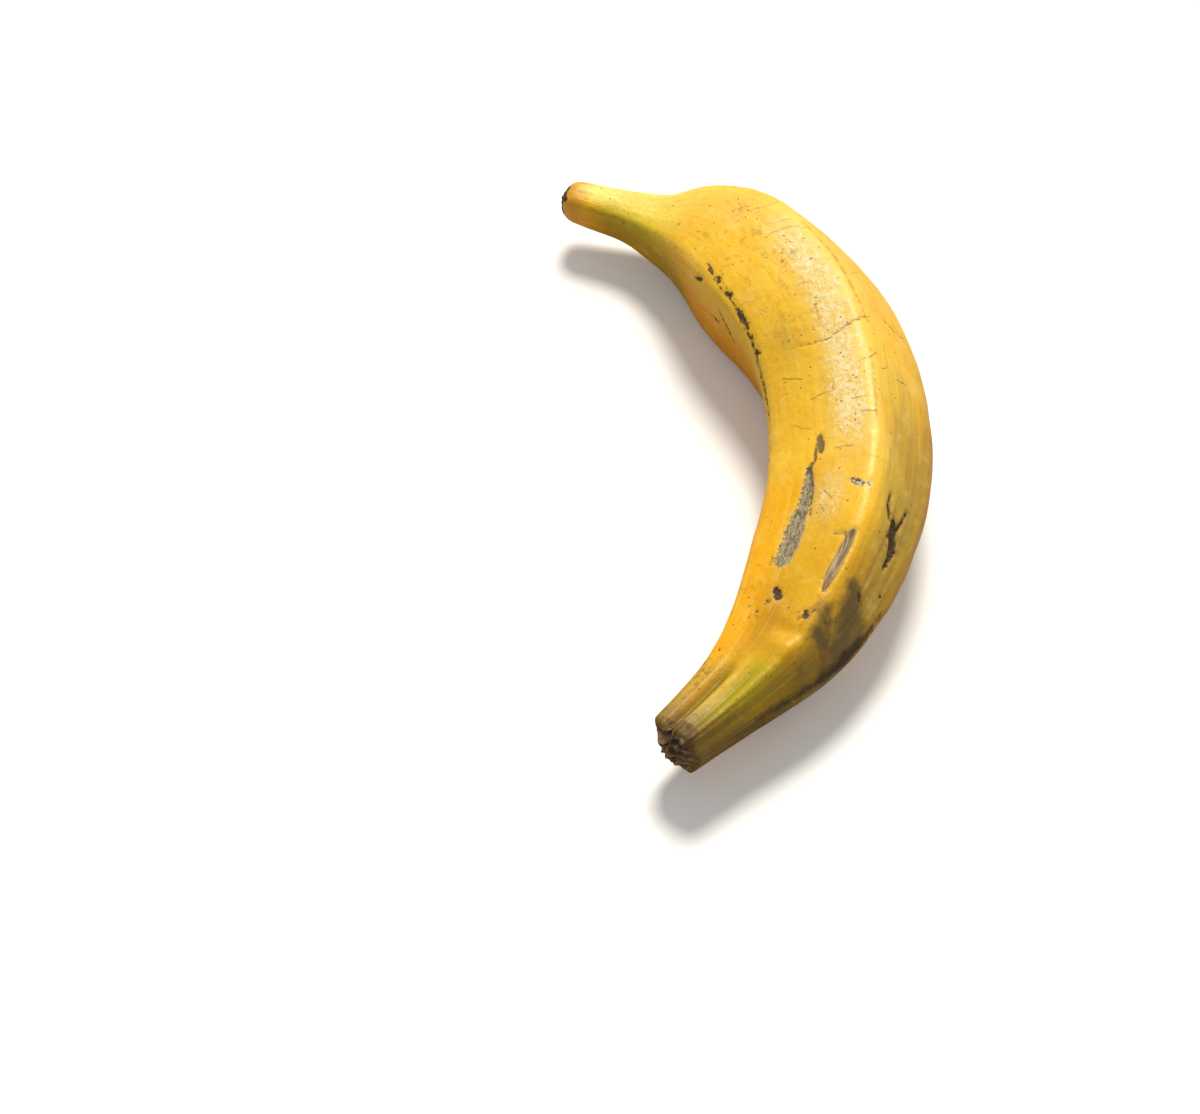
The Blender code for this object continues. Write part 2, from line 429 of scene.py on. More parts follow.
BLACK_SPOTS = (
    ((53.6, 0.43, 1.2), (51.8, 0.50, 1.1)),
    ((49.6, 0.39, 0.6), (48.4, 0.38, 0.3)),
    ((45.3, 0.31, 0.5),),
    ((43.3, 0.33, 0.4),),
    ((48.8, 0.90, 0.9), (47.6, 0.92, 0.7)),
    ((50.5, 0.96, 0.3), (46, 0.86, 0.3)),
    ((62.4, 1.38, 0.5), (61.2, 1.45, 0.6)),
    ((66.8, 1.75, 0.5),),
    ((29.1, 0.10, 0.5),),
)
GREY_MARK = (
    ((89.4, 0.93, 0.9), (90.6, 0.88, 1.1), (91.4, 0.84, 0.4)),
    ((88, 0.99, 0.4), (90.5, 0.97, 0.5)),
)
RIDGE_NICKS = (
    ((195.5, 0.10, 0.3), (193.0, 0.09, 0.7), (191.0, 0.085, 0.3)),
    ((190.0, 0.09, 0.4), (188.2, 0.09, 0.8), (187.2, 0.07, 0.3)),
    ((182.6, 0.09, 0.3), (181.0, 0.08, 0.9), (179.8, 0.06, 0.3)),
    ((176, 0.055, 0.3), (173.0, 0.06, 0.7), (168.5, 0.055, 0.5), (165.5, 0.05, 0.2)),
    ((162.4, 0.045, 0.3), (160.4, 0.04, 0.5), (158.8, 0.04, 0.2)),
    ((156, 0.05, 0.3), (154.6, 0.055, 0.6), (153.6, 0.07, 0.3)),
    ((192, 0.07, 0.20), (178, 0.05, 0.36), (160, 0.025, 0.42), (145, 0.015, 0.52), (132, 0.015, 0.44),
     (112, 0.02, 0.12)),
    ((197.2, 4.92, 0.4), (195.4, 4.95, 0.75), (194, 4.97, 0.4)),
    ((184, 4.86, 0.2), (181, 4.79, 0.4), (178, 4.74, 0.4), (173.5, 4.63, 0.2)),
    ((189, 4.64, 0.15), (186, 4.66, 0.35), (183.5, 4.66, 0.2)),
)
CRACKS = (
    ((147.9, 1.09, 0.35), (146.4, 0.94, 0.45), (145.0, 0.79, 0.4), (144.2, 0.70, 0.3)),
    ((144.2, 0.70, 0.25), (145.6, 0.55, 0.2), (147.7, 0.37, 0.1)),
    ((150.4, 1.44, 0.2), (148.6, 1.60, 0.35), (147.2, 1.78, 0.3), (145.5, 1.88, 0.15)),
)
# Partly bruises, partly painted shade: the wide dark zone over the lower outside face beside the stem.
BRUISES_AND_SHADE = (
    ((63, 1.22, 1.8), (59, 1.36, 4.0), (55, 1.55, 6.0), (49, 1.76, 5.5), (42, 1.92, 4.0)),
    ((52, 1.08, 2.0), (46, 1.28, 4.4), (41, 1.52, 4.8), (37, 1.80, 3.6)),
)
DARK_RIDGE = (
    ((64, 1.93, 0.3), (57, 1.92, 1.2), (50, 1.90, 2.0), (42, 1.89, 1.3), (34, 1.86, 0.7), (27, 1.84, 0.6),
     (20, 1.80, 0.3)),
)
OLIVE_FILM = (
    ((128, 1.35, 5.0), (112, 1.45, 8.0), (95, 1.50, 9.0), (78, 1.55, 8.0), (64, 1.60, 5.0)),
    ((151, 0.36, 4.0), (158, 0.34, 2.6)),
)
RUSTY_EDGE = (
    ((186, 1.00, 0.4), (172, 1.05, 0.5), (158, 1.06, 0.5), (146, 1.09, 0.3)),
    ((136, 1.04, 0.2), (122, 1.01, 0.5), (112, 1.00, 0.3)),
    ((58, 0.99, 0.4), (52, 0.96, 0.8), (44, 0.93, 0.5)),
    ((118, 1.96, 0.3), (106, 1.98, 0.6), (88, 1.96, 0.5), (70, 1.95, 0.5)),
    ((250, 0.02, 0.2), (215, 0.02, 0.4), (198, 0.04, 0.3)),
)
BROWN_COLLAR = (
    ((0.2, 1.24, 1.0), (0.2, 1.8, 1.0), (1.0, 2.7, 1.6), (0.6, 3.5, 1.2), (0.8, 4.4, 1.4), (0.4, 5.0, 1.2)),
    ((0.4, 0.0, 1.2), (1.2, 0.25, 1.7), (2.0, 0.55, 2.4), (2.2, 0.9, 2.2), (0.6, 1.22, 1.2)),
)
MARK_LIMIT = 6.0
STROKE_STEP = 0.12


def skin_at(distance, way_round):
    """The point of the plain skin, in millimetres, at a distance from the stem and a way round."""
    body = slice(STEM_RINGS, STEM_RINGS + BODY_RINGS + 1)
    ring = np.interp(distance, ring_distances[body] / MM, np.arange(RINGS + 1)[body])
    side = way_round / FACES * SIDES
    ring_below, side_below = int(ring), int(math.floor(side))
    ring_rest, side_rest = ring - ring_below, side - side_below
    ring_above = min(ring_below + 1, RINGS)
    rows = [
        skin_mm[r, side_below % SIDES] * (1 - side_rest) + skin_mm[r, (side_below + 1) % SIDES] * side_rest
        for r in (ring_below, ring_above)
    ]
    return rows[0] * (1 - ring_rest) + rows[1] * ring_rest


def depth_inside(strokes, limit=MARK_LIMIT):
    """How far, in millimetres, each point of the skin is inside the strokes; below 0 it is outside."""
    depth = np.full(skin_mm.shape[:2], -limit)
    for stroke in strokes:
        if len(stroke) == 1:
            stroke = stroke * 2
        for (d0, w0, h0), (d1, w1, h1) in zip(stroke, stroke[1:]):
            steps = max(1, math.ceil(abs(w1 - w0) / STROKE_STEP))
            shares = np.linspace(0, 1, steps + 1)
            stops = [skin_at(d0 + (d1 - d0) * s, w0 + (w1 - w0) * s) for s in shares]
            for start, end, share in zip(stops, stops[1:], shares):
                span = end - start
                place = ((skin_mm - start) @ span) / max(span @ span, 1e-9)
                place = np.clip(place, 0, 1)
                gap = np.linalg.norm(skin_mm - start - place[..., None] * span, axis=-1)
                half = h0 + (h1 - h0) * (share + place / steps)
                depth = np.maximum(depth, half - gap)
    return depth


def sunk_by(depth, blur):
    """0 outside a mark to 1 well inside it, over a blur in millimetres."""
    share = np.clip(depth / blur + 0.5, 0, 1)
    return share * share * (3 - 2 * share)


marks = {
    "silver_scar": depth_inside(SILVER_SCAR),
    "scar_hook": depth_inside(SCAR_HOOK),
    "corky_strip": depth_inside(CORKY_STRIP),
    "pits": depth_inside(PITS),
    "black_spots": depth_inside(BLACK_SPOTS + RIDGE_NICKS),
    "grey_mark": depth_inside(GREY_MARK),
    "cracks": depth_inside(CRACKS),
    "bruises_and_shade": depth_inside(BRUISES_AND_SHADE),
    "dark_ridge": depth_inside(DARK_RIDGE),
    "olive_film": depth_inside(OLIVE_FILM),
    "rusty_edge": depth_inside(RUSTY_EDGE),
    "brown_collar": depth_inside(BROWN_COLLAR),
}
fine = lumps(skin_mm + 60, 1.1)
fibrous = lumps(straight * (0.25, 1.1, 1.1), 1.0)
# How marks change the skin, in millimetres: blur of the edge, depth, height of the grain, grain.
MARK_RELIEF = {
    "silver_scar": (1.4, 0.30, 0.16, fine),
    "scar_hook": (1.0, 0.35, 0.0, fine),
    "corky_strip": (1.2, 0.55, 0.30, fibrous),
    "pits": (1.4, 1.05, 0.30, fine),
    "black_spots": (1.2, 0.40, 0.0, fine),
    "grey_mark": (1.0, 0.25, 0.20, fine),
    "cracks": (1.2, 0.40, 0.0, fine),
    "dark_ridge": (1.5, 0.0, 0.18, fine),
    "brown_collar": (2.0, 0.10, 0.25, fibrous),
}
for mark_name, (blur, depth, grain_height, grain) in MARK_RELIEF.items():
    relief += sunk_by(marks[mark_name], blur) * (grain_height * grain - depth)


# ENDS. The stem was torn from the bunch and shows layered brown fibres that bulge from a ragged rim.
# The blossom tip ends in a small dry cap, dished round a stub.
STEM_BULGE = 2.6
STEM_LAYER_HEIGHT = 1.0
STEM_LAYERS = 4.4
RAGGED_RIM = 1.1
CAP_BULGE = 0.9

stem_face = np.arange(RINGS + 1) < STEM_RINGS
tip_face = np.arange(RINGS + 1) > STEM_RINGS + BODY_RINGS
from_middle = np.repeat(ring_shares[:, None], SIDES, axis=1) / STEM_RIM[1]
turn = way * math.tau / FACES
face_places = np.stack(
    [3.0 * from_middle * np.cos(turn), 3.0 * from_middle * np.sin(turn), 0 * turn], axis=-1
)
torn = lumps(face_places + (5, 1, 2), 1.0)
layer_phase = STEM_LAYERS * (from_middle * np.cos(turn - 0.9) + 0.16 * torn)
layers = np.abs((layer_phase % 2) - 1)
push_back = STEM_BULGE * (1 - from_middle ** 2) * (0.8 + 0.5 * torn)
push_back += STEM_LAYER_HEIGHT * (layers - 0.5) * np.clip(4 * (1 - from_middle), 0, 1)
rim_wave = lumps(np.stack([2.2 * np.cos(turn), 2.2 * np.sin(turn), 0 * turn], axis=-1), 1.0)
rim_wave += 0.5 * lumps(np.stack([7 * np.cos(turn), 7 * np.sin(turn), 0 * turn + 3], axis=-1), 1.0)
push_back = np.where(stem_face[:, None], push_back, 0.0)
push_back += RAGGED_RIM * rim_wave * np.exp(-np.maximum(stem_mm, 0) / 2.5)

cap_share = np.repeat(ring_shares[:, None], SIDES, axis=1) / TIP_RIM[1]
cap_out = CAP_BULGE * np.cos(np.clip(cap_share, 0, 1) * math.pi * 1.5) * 0.5
cap_out = np.where(tip_face[:, None], cap_out + 0.45, 0.0)
cap_out += np.where(stem_mm > LENGTH / MM - 3, 0.35 * lumps(skin_mm + 31, 1.8), 0.0)

shape = skin + outward * (relief * MM)[..., None]
shape -= forward[:, None, :] * (push_back * MM)[..., None]
shape += forward[:, None, :] * (cap_out * MM)[..., None]
shape[..., 2] = np.maximum(shape[..., 2], low.z)


# MESH. A ringed cylinder with a column of points for every side is moved onto the finished shape.
TINT_ROWS = (
    # millimetres from the stem, and a paint for each half face round, from the first ridge
    (0, "abdsrrkkko"),
    (8, "abdsrrkkko"),
    (18, "abcmrrkkko"),
    (28, "oecmrrkkko"),
    (38, "obemmrkkko"),
    (50, "obevvrkkko"),
    (65, "oeevvvkkkk"),
    (85, "oeyvvvkkkk"),
    (105, "yypvvvvkkk"),
    (125, "yypyvvvkkk"),
    (150, "yypyyvkkkk"),
    (165, "yypyyvkkkk"),
    (190, "yypyyykkkk"),
    (205, "yyyyyykkkk"),
    (217, "yppyyykkuu"),
    (228, "lnnpyykuuu"),
    (240, "gnnnyyuuuu"),
    (252, "gnnnyykuuu"),
    (262, "onnnyykkkk"),
    (270, "koyyykkkkk"),
)
PAINTS = {
    "y": (243, 194, 50),
    "p": (247, 204, 78),
    "o": (243, 177, 10),
    "k": (243, 171, 12),
    "v": (192, 147, 32),
    "g": (196, 176, 26),
    "a": (190, 156, 34),
    "b": (196, 142, 8),
    "c": (176, 158, 16),
    "d": (150, 126, 18),
    "e": (224, 175, 32),
    "n": (249, 222, 96),
    "l": (220, 190, 36),
    # m, s and r: olive darkened with painted shade, for the lower outside faces beside the stem that lie in
    # shade.
    "m": (152, 122, 14),
    "r": (98, 76, 5),
    "s": (122, 98, 8),
    "u": (192, 152, 20),
}
GROOVE_GREEN = (116, 114, 6)
CREST_YELLOW = (210, 186, 46)


def paint(red, green, blue):
    """A colour from 0 to 255 as the shader's linear colour."""
    shares = [value / 255 for value in (red, green, blue)]
    return tuple(s / 12.92 if s <= 0.04045 else ((s + 0.055) / 1.055) ** 2.4 for s in shares) + (1.0,)


def tint_of_skin():
    """The peel's ground colour at every point, blended between the painted rows, with painted shade on the
    lower outside faces beside the stem.
    """
    drift = lumps(skin_mm + 70, 14)
    place = np.clip(stem_mm + 5 * drift, 0, LENGTH / MM)
    turned = (way + 0.16 * lumps(skin_mm + 120, 12)) % FACES * 2
    row_places = [row[0] for row in TINT_ROWS]
    painted = np.array([[paint(*PAINTS[letter])[:3] for letter in row[1]] for row in TINT_ROWS])
    row = np.interp(place, row_places, np.arange(len(TINT_ROWS)))
    row_below = np.clip(row.astype(int), 0, len(TINT_ROWS) - 2)
    column_below = turned.astype(int) % 10
    row_rest = (row - row_below)[..., None]
    column_rest = (turned - turned.astype(int))[..., None]
    column_rest = column_rest * column_rest * (3 - 2 * column_rest)
    after = (column_below + 1) % 10
    upper, lower = (
        painted[r, column_below] * (1 - column_rest) + painted[r, after] * column_rest
        for r in (row_below, row_below + 1)
    )
    ground = upper * (1 - row_rest) + lower * row_rest
    groove = by_stem * (0.85 * near_way(GROOVE_WAY, 0.10) + 0.55 * near_way(SIDE_GROOVE_WAY, 0.05))
    crest = by_stem * 0.70 * near_way(CREST_WAY, 0.07)
    for share, tone in ((groove[..., None], GROOVE_GREEN), (crest[..., None], CREST_YELLOW)):
        ground = ground * (1 - share) + share * np.array(paint(*tone)[:3])
    return ground


cylinder = bmesh.new()
bmesh.ops.create_cone(cylinder, cap_ends=True, segments=SIDES, radius1=1, radius2=1, depth=1)
long_edges = [e for e in cylinder.edges if abs(e.verts[0].co.z - e.verts[1].co.z) > 0.5]
bmesh.ops.subdivide_edges(cylinder, edges=long_edges, cuts=RINGS - 1, use_grid_fill=True)
fruit_mesh = bpy.data.meshes.new("plantain_fruit")
cylinder.to_mesh(fruit_mesh)
cylinder.free()

points = np.zeros(len(fruit_mesh.vertices) * 3)
fruit_mesh.vertices.foreach_get("co", points)
points = points.reshape(-1, 3)
ring_of = np.rint((points[:, 2] + 0.5) * RINGS).astype(int)
side_of = np.rint(np.arctan2(-points[:, 0], points[:, 1]) / math.tau * SIDES).astype(int) % SIDES
fruit_mesh.vertices.foreach_set("co", shape[ring_of, side_of].ravel())

# Wax bloom and painted highlight: the paler band on the top face and the neck stands partly for the lamp's
# sheen.
wax_and_painted_highlight = window(way, 0.60, 1.02, 0.40) * window(stem_mm, 98, 196, 40)
wax_and_painted_highlight = np.maximum(wax_and_painted_highlight, 0.55 * window(way, 0.5, 1.1, 0.4) * window(stem_mm, 226, 262, 14))
wax_and_painted_highlight = np.maximum(wax_and_painted_highlight, 0.6 * window(way, 0.45, 0.95, 0.3) * window(stem_mm, 196, 214, 12))
wax_and_painted_highlight = np.maximum(wax_and_painted_highlight, 0.75 * window(way, 0.52, 0.84, 0.2) * window(stem_mm, 76, 98, 14))
speckled_neck = window(way, 0.3, 1.7, 0.3) * window(stem_mm, 218, 262, 14)
speckled_stem = window(way, 1.1, 2.2, 0.4) * window(stem_mm, 3, 19, 7)
speckled_stem = np.maximum(speckled_stem, near_way(0.08, 0.14) * window(stem_mm, 4, 26, 8))
freckled = window(stem_mm, 150, 208, 20) * window(way, 0.15, 0.8, 0.3) + window(stem_mm, 20, 62, 16)
freckled = np.clip(freckled, 0, 1)
point_values = {
    **marks,
    "wax_and_painted_highlight": wax_and_painted_highlight,
    "wrinkled": wrinkled,
    "speckled_neck": speckled_neck,
    "speckled_stem": speckled_stem,
    "freckled": freckled,
    "stem_distance": stem_mm,
    "torn_layer": layers + 0.25 * torn,
}
for value_name, values in point_values.items():
    attribute = fruit_mesh.attributes.new(value_name, "FLOAT", "POINT")
    attribute.data.foreach_set("value", values[ring_of, side_of].astype(np.float32))
tint = fruit_mesh.attributes.new("tint", "FLOAT_COLOR", "POINT")
tint_values = np.ones((len(points), 4), np.float32)
tint_values[:, :3] = tint_of_skin()[ring_of, side_of]
tint.data.foreach_set("color", tint_values.ravel())
grain = fruit_mesh.attributes.new("grain", "FLOAT_VECTOR", "POINT")
grain.data.foreach_set("vector", straight[ring_of, side_of].astype(np.float32).ravel())

# The laid-out map counts metres along the fruit, and a face round as 30 mm. It is cut underneath.
MAP_CUT = 3.5
MAP_FACE = 0.030


def map_place(distance, way_round):
    """Where a place on the skin lies on the laid-out map."""
    return (distance * MM, (way_round - MAP_CUT) % FACES * MAP_FACE, 0.0)


loop_points = np.zeros(len(fruit_mesh.loops), int)
fruit_mesh.loops.foreach_get("vertex_index", loop_points)
face_starts = np.zeros(len(fruit_mesh.polygons), int)
face_sizes = np.zeros(len(fruit_mesh.polygons), int)
fruit_mesh.polygons.foreach_get("loop_start", face_starts)
fruit_mesh.polygons.foreach_get("loop_total", face_sizes)
loop_ways = (ways[side_of[loop_points]] - MAP_CUT) % FACES
widest = np.repeat(np.maximum.reduceat(loop_ways, face_starts), face_sizes)
loop_ways = np.where(widest - loop_ways > FACES / 2, loop_ways + FACES, loop_ways)
skin_map = fruit_mesh.uv_layers.new(name="skin_map")
map_values = np.stack([ring_distances[ring_of[loop_points]], loop_ways * MAP_FACE], axis=1)
skin_map.data.foreach_set("uv", map_values.astype(np.float32).ravel())

face_rings = np.maximum.reduceat(ring_of[loop_points], face_starts)
face_lowest = np.minimum.reduceat(ring_of[loop_points], face_starts)
slots = np.where(face_rings <= STEM_RINGS, 1, 0)
slots = np.where(face_lowest >= STEM_RINGS + BODY_RINGS, 2, slots)
fruit_mesh.polygons.foreach_set("material_index", slots.astype(np.int32))
fruit_mesh.shade_smooth()
fruit = bpy.data.objects.new("plantain_fruit", fruit_mesh)
bpy.context.scene.collection.objects.link(fruit)


# PEEL. Ripe yellow skin with a thin wax: clouded yellow and ochre, streaked along its fibres, green
# towards the stem and the neck, freckled, and dulled where it is scarred.
def add(tree, kind, inputs, output=0, **settings):
    """Add a shader node, set or link its inputs, and return one of its outputs."""
    made = tree.nodes.new("ShaderNode" + kind)
    for name, value in settings.items():
        setattr(made, name, value)
    for name, value in inputs.items():
        if isinstance(value, bpy.types.NodeSocket):
            tree.links.new(value, made.inputs[name])
        else:
            made.inputs[name].default_value = value
    return made.outputs[output]


def compute(tree, operation, first, second=0.0, clamp=False):
    """A Math node."""
    return add(tree, "Math", {0: first, 1: second}, operation=operation, use_clamp=clamp)


def times(tree, first, second):
    """The product of two values."""
    return compute(tree, "MULTIPLY", first, second)


def largest(tree, first, *others):
    """The largest of some values."""
    for other in others:
        first = compute(tree, "MAXIMUM", first, other)
    return first


def blend(tree, share, first, second, how="MIX"):
    """Mix two colours by a share."""
    return add(tree, "Mix", {0: share, 6: first, 7: second}, output=2, data_type="RGBA", blend_type=how)


def fade(tree, value, start, end, low_value=0.0, high_value=1.0):
    """Ease a value from one number to another between its start and its end."""
    return add(
        tree,
        "MapRange",
        {"Value": value, "From Min": start, "From Max": end, "To Min": low_value, "To Max": high_value},
        interpolation_type="SMOOTHSTEP",
    )


def cloud(tree, place, scale, detail=2.0, roughness=0.5, distortion=0.0):
    """Noise round one half."""
    return add(
        tree,
        "TexNoise",
        {
            "Vector": place,
            "Scale": scale,
            "Detail": detail,
            "Roughness": roughness,
            "Distortion": distortion,
        },
    )


def stretch(tree, place, factors):
    """Scale a place by three factors."""
    return add(tree, "VectorMath", {0: place, 1: factors}, operation="MULTIPLY")


def new_group(name, inputs, outputs):
    """A shader node group with named inputs and outputs; returns its tree, its inputs and its exit."""
    group = bpy.data.node_groups.new(name, "ShaderNodeTree")
    for socket, kind in inputs.items():
        group.interface.new_socket(name=socket, in_out="INPUT", socket_type="NodeSocket" + kind)
    for socket, kind in outputs.items():
        group.interface.new_socket(name=socket, in_out="OUTPUT", socket_type="NodeSocket" + kind)
    entry = group.nodes.new("NodeGroupInput")
    leave = group.nodes.new("NodeGroupOutput")
    return group, entry.outputs, leave.inputs


def add_bump(tree, shader, height, depth, strength):
    """Let a height from 0 to 1 raise the surface by a depth in metres."""
    bump = add(tree, "Bump", {"Height": height, "Distance": depth, "Strength": strength})
    tree.links.new(bump, shader.inputs["Normal"])


def use_group(tree, group, inputs, output=0):
    """Place a group in a material, set or link its inputs, and return one of its outputs."""
    return add(tree, "Group", inputs, output=output, node_tree=group)


# A mark's edge, made ragged by noise: gives 1 inside the mark and 0 outside it.
ragged, given, result = new_group(
    "ragged_mark",
    {
        "Depth": "Float",
        "Place": "Vector",
        "Grain Size": "Float",
        "Raggedness": "Float",
        "Softness": "Float",
    },
    {"Mask": "Float"},
)
wobble = cloud(ragged, given["Place"], given["Grain Size"], detail=3.0, roughness=0.6)
wobble = compute(ragged, "MULTIPLY", compute(ragged, "SUBTRACT", wobble, 0.5), given["Raggedness"])
edge_place = compute(ragged, "ADD", given["Depth"], wobble)
edge_share = compute(ragged, "DIVIDE", edge_place, given["Softness"])
ragged.links.new(fade(ragged, edge_share, -0.5, 0.5), result["Mask"])

# A hair-thin line between two places of the laid-out map: 1 on the line and 0 beside it.
hairline, given, result = new_group(
    "hairline",
    {"Place": "Vector", "Start": "Vector", "End": "Vector", "Half Width": "Float"},
    {"Mask": "Float"},
)
line_span = add(hairline, "VectorMath", {0: given["End"], 1: given["Start"]}, operation="SUBTRACT")
line_place = add(hairline, "VectorMath", {0: given["Place"], 1: given["Start"]}, operation="SUBTRACT")
line_reach = add(hairline, "VectorMath", {0: line_place, 1: line_span}, output=1, operation="DOT_PRODUCT")
line_square = add(hairline, "VectorMath", {0: line_span, 1: line_span}, output=1, operation="DOT_PRODUCT")
line_share = compute(hairline, "DIVIDE", line_reach, line_square, clamp=True)
line_foot = add(hairline, "VectorMath", {0: line_span, "Scale": line_share}, operation="SCALE")
line_gap = add(hairline, "VectorMath", {0: line_place, 1: line_foot}, output=1, operation="DISTANCE")
line_gap = compute(hairline, "DIVIDE", line_gap, given["Half Width"])
# The line thins out towards both of its ends.
line_middle = compute(hairline, "MULTIPLY", line_share, compute(hairline, "SUBTRACT", 1.0, line_share))
line_taper = fade(hairline, line_middle, 0.0, 0.12, 0.35, 1.0)
line_gap = compute(hairline, "DIVIDE", line_gap, line_taper)
hairline.links.new(fade(hairline, line_gap, 1.0, 0.3), result["Mask"])

HAIRLINES = (
    # start and end (millimetres from the stem, way round), half width in millimetres
    ((139.0, 0.20), (134.4, 0.41), 0.34),
    ((132.4, 1.00), (134.6, 1.12), 0.36),
    ((129.6, 1.15), (132.4, 1.24), 0.30),
    ((132.4, 1.24), (141.0, 1.26), 0.22),
    ((128.3, 1.34), (129.4, 1.56), 0.34),
    ((150.2, 1.62), (148.0, 1.82), 0.30),
    ((125.3, 0.44), (124.7, 0.69), 0.24),
    ((124.7, 0.69), (128.4, 0.71), 0.22),
    ((114.1, 0.88), (114.0, 1.00), 0.32),
    ((119.7, 0.82), (118.3, 0.97), 0.24),
    ((164.0, 1.13), (167.3, 1.41), 0.22),
    ((201.6, 0.74), (198.2, 0.89), 0.22),
    ((198.2, 0.89), (198.3, 1.01), 0.22),
    ((206.0, 0.66), (202.0, 0.82), 0.18),
    ((189.8, 0.70), (185.1, 0.97), 0.22),
    ((193.0, 0.74), (189.0, 0.96), 0.18),
    ((118.0, 0.22), (112.5, 0.45), 0.22),
    ((103.5, 0.66), (102.5, 0.84), 0.26),
    ((112.6, 1.80), (110.6, 1.93), 0.30),
    ((110.6, 1.93), (105.0, 1.90), 0.26),
    ((213.0, 4.58), (202.0, 4.65), 0.24),
    ((196.8, 4.59), (190.0, 4.63), 0.24),
    ((178.0, 4.70), (168.0, 4.55), 0.20),
    ((261.6, 0.31), (260.0, 0.34), 0.36),
    ((88.0, 0.62), (85.0, 0.72), 0.24),
    ((84.0, 0.60), (80.0, 0.68), 0.24),
    ((168.0, 2.60), (159.0, 2.75), 0.26),
    ((120.0, 2.35), (108.0, 2.42), 0.28),
    ((98.0, 4.45), (86.0, 4.52), 0.26),
    ((150.0, 3.10), (147.0, 3.42), 0.30),
)

# Paints that are laid over the tinted ground, in linear light. The shades darken by multiplying.
CLOUD_SHADE = (0.93, 0.82, 0.42, 1)
MOTTLE_SHADE = (0.92, 0.82, 0.50, 1)
FIBRE_SHADE = (0.78, 0.66, 0.50, 1)
FIBRE_PALE = (0.98, 0.78, 0.24, 1)
GRAIN_SHADE = (0.80, 0.66, 0.42, 1)
DRY_OLIVE = (0.44, 0.33, 0.065, 1)
WRINKLE_BROWN = (0.20, 0.13, 0.035, 1)
WAX_CREAM_AND_HIGHLIGHT = (0.90, 0.72, 0.32, 1)
WAX_WHITE_AND_HIGHLIGHT = (0.96, 0.86, 0.53, 1)
PORE_BROWN = (0.16, 0.10, 0.045, 1)
FRECKLE_BROWN = (0.30, 0.13, 0.02, 1)
BLOTCH_RUST = (0.52, 0.25, 0.03, 1)
NECK_GREEN = (0.42, 0.42, 0.10, 1)
SPECKLE_BROWN = (0.20, 0.11, 0.03, 1)
STEM_BROWN = (0.20, 0.125, 0.028, 1)
SCUFF_BROWN = (0.34, 0.18, 0.04, 1)
PATCH_YELLOW = (0.93, 0.66, 0.16, 1)
LINE_BROWN = (0.26, 0.13, 0.035, 1)
EDGE_RUST = (0.40, 0.17, 0.045, 1)
BRUISE_AND_SHADE_GREY = (0.13, 0.088, 0.028, 1)
BRUISE_AND_SHADE_RIM = (0.14, 0.055, 0.012, 1)
ROT_BLACK = (0.034, 0.024, 0.014, 1)
SPOT_RIM = (0.24, 0.12, 0.03, 1)
CRACK_BROWN = (0.20, 0.115, 0.05, 1)
SCAR_HALO = (0.72, 0.60, 0.34, 1)
HOOK_GREY = (0.085, 0.07, 0.045, 1)
CORK_RIM = (0.16, 0.075, 0.03, 1)
TIP_AMBER = (0.55, 0.24, 0.035, 1)
TIP_BLACK = (0.035, 0.030, 0.024, 1)
# Dark and pale paint of each rough mark.
GREY_MARK_PAINTS = ((0.12, 0.065, 0.045, 1), (0.55, 0.44, 0.30, 1))
PIT_PAINTS = ((0.020, 0.013, 0.012, 1), (0.085, 0.052, 0.036, 1))
SILVER_PAINTS = ((0.095, 0.078, 0.046, 1), (0.50, 0.42, 0.27, 1))
CORK_PAINTS = ((0.17, 0.105, 0.055, 1), (0.50, 0.37, 0.20, 1))
COLLAR_PAINTS = ((0.070, 0.038, 0.018, 1), (0.22, 0.125, 0.040, 1))
PEEL_GLOSS = 0.32
GLOSS_TINT = (1.0, 0.90, 0.66, 1.0)
WAX_COAT = 0.06
WAX_COAT_ROUGHNESS = 0.25

peel, tree, shader = new_material("peel")
place = add(tree, "TexCoord", {}, output="Object")
grain_place = add(tree, "Attribute", {}, output="Vector", attribute_name="grain")
map_position = add(tree, "UVMap", {}, uv_map="skin_map")


def peel_value(name):
    """A value kept on the points of the peel."""
    return add(tree, "Attribute", {}, output="Fac", attribute_name=name)


def marked(name, size=900.0, ragged_by=0.8, softness=0.5, noise_place=None):
    """The mask of a named mark, with an edge as ragged and as soft as given in millimetres."""
    return use_group(
        tree,
        ragged,
        {
            "Depth": peel_value(name),
            "Place": noise_place or place,
            "Grain Size": size,
            "Raggedness": ragged_by,
            "Softness": softness,
        },
    )


def lay(mask, strength, layer_paint, how="MIX"):
    """The colour so far with a paint laid over it where the mask is, at a strength."""
    return blend(tree, times(tree, mask, strength), color, layer_paint, how)


# Ground: clouds of deeper yellow, small mottles, and fibres along the fruit.
wide_cloud = fade(tree, cloud(tree, place, 60.0, 3.0, 0.55), 0.38, 0.66)
small_cloud = fade(tree, cloud(tree, place, 240.0, 4.0, 0.6), 0.42, 0.72)
color = add(tree, "Attribute", {}, output="Color", attribute_name="tint")
color = lay(wide_cloud, 0.45, CLOUD_SHADE, "MULTIPLY")
color = lay(small_cloud, 0.40, MOTTLE_SHADE, "MULTIPLY")
fibre_place = stretch(tree, grain_place, (0.035, 0.9, 0.9))
fibre = cloud(tree, fibre_place, 1.0, 4.0, 0.65)
fibre_dark = fade(tree, fibre, 0.48, 0.74)
fibre_pale = fade(tree, fibre, 0.46, 0.28)
color = lay(fibre_dark, 0.30, FIBRE_SHADE, "MULTIPLY")
color = lay(fibre_pale, 0.22, FIBRE_PALE)
skin_grain = cloud(tree, place, 1500.0, 3.0, 0.7)
color = blend(tree, fade(tree, skin_grain, 0.50, 0.80, 0.0, 0.35), color, GRAIN_SHADE, "MULTIPLY")

